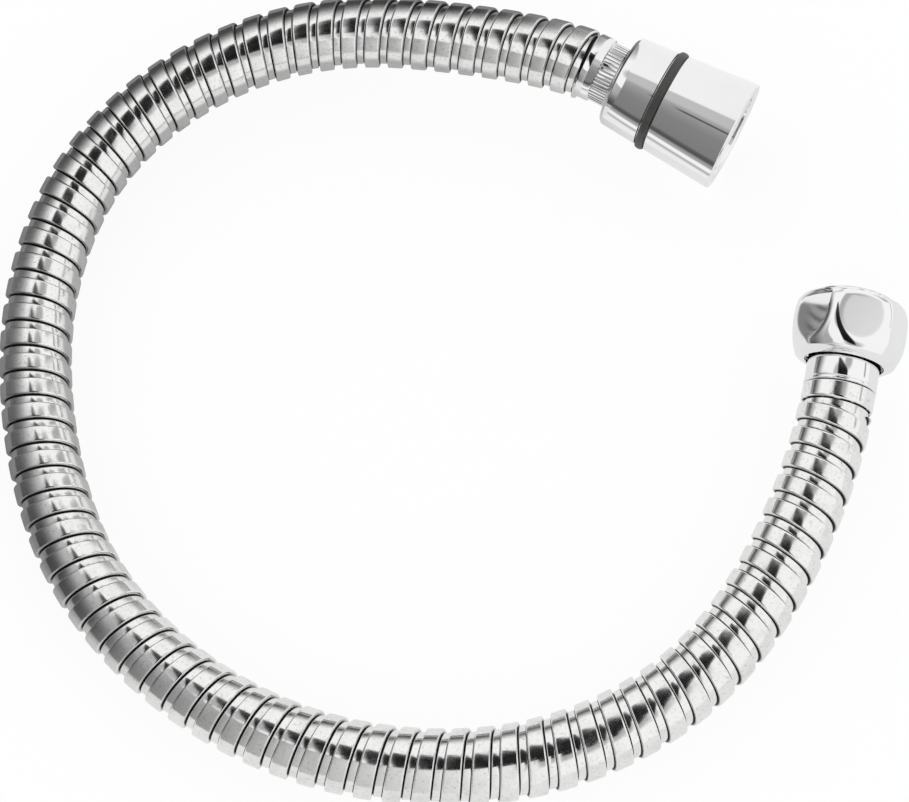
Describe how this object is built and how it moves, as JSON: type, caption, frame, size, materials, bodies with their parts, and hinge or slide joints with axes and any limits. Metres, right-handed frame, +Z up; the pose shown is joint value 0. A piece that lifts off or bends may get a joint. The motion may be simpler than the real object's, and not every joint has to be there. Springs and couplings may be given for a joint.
{
  "type": "flexible connector hose",
  "caption": "Short chromed flexible connector hose of wound metal strip over an inner tube, with a hexagonal and a conical swivel nut, lying in an open C.",
  "frame": {"origin": "middle of the bounding box, on the plane that the hose lies on", "axes": "+Z up; the hose lies in an open C whose mouth faces +X; the hexagonal nut is at +X and faces about +Y, and the conical nut is at +Y and faces about +X"},
  "size_m": [0.1878, 0.1734, 0.0252],
  "materials": {
    "polished_strip": "polished chromed strip",
    "chrome": "mirror chrome plate",
    "brass": "turned brass",
    "clear_plastic": "milky soft plastic",
    "black_rubber": "smooth black rubber"
  },
  "bodies": {
    "hose": {"spiral_hose": "polished_strip", "inner_tube": "clear_plastic", "hex_end_ferrule": "chrome", "hex_end_insert": "brass", "cone_end_ferrule": "chrome", "cone_end_insert": "brass"},
    "hex_nut": {"hex_nut": "chrome", "hex_end_washer": "black_rubber"},
    "cone_nut": {"cone_nut": "chrome", "cone_grip_ring": "black_rubber", "cone_end_washer": "black_rubber"}
  },
  "joints": [
    {"name": "hex_nut_swivel", "type": "hinge", "parent": "hose", "child": "hex_nut", "pos_m": [0.08216, 0.00822, 0.01206], "axis": [0.1936, 0.9779, 0.0785], "continuous": true},
    {"name": "cone_nut_swivel", "type": "hinge", "parent": "hose", "child": "cone_nut", "pos_m": [0.04698, 0.0604, 0.01383], "axis": [0.8795, -0.4588, -0.1262], "continuous": true}
  ]
}
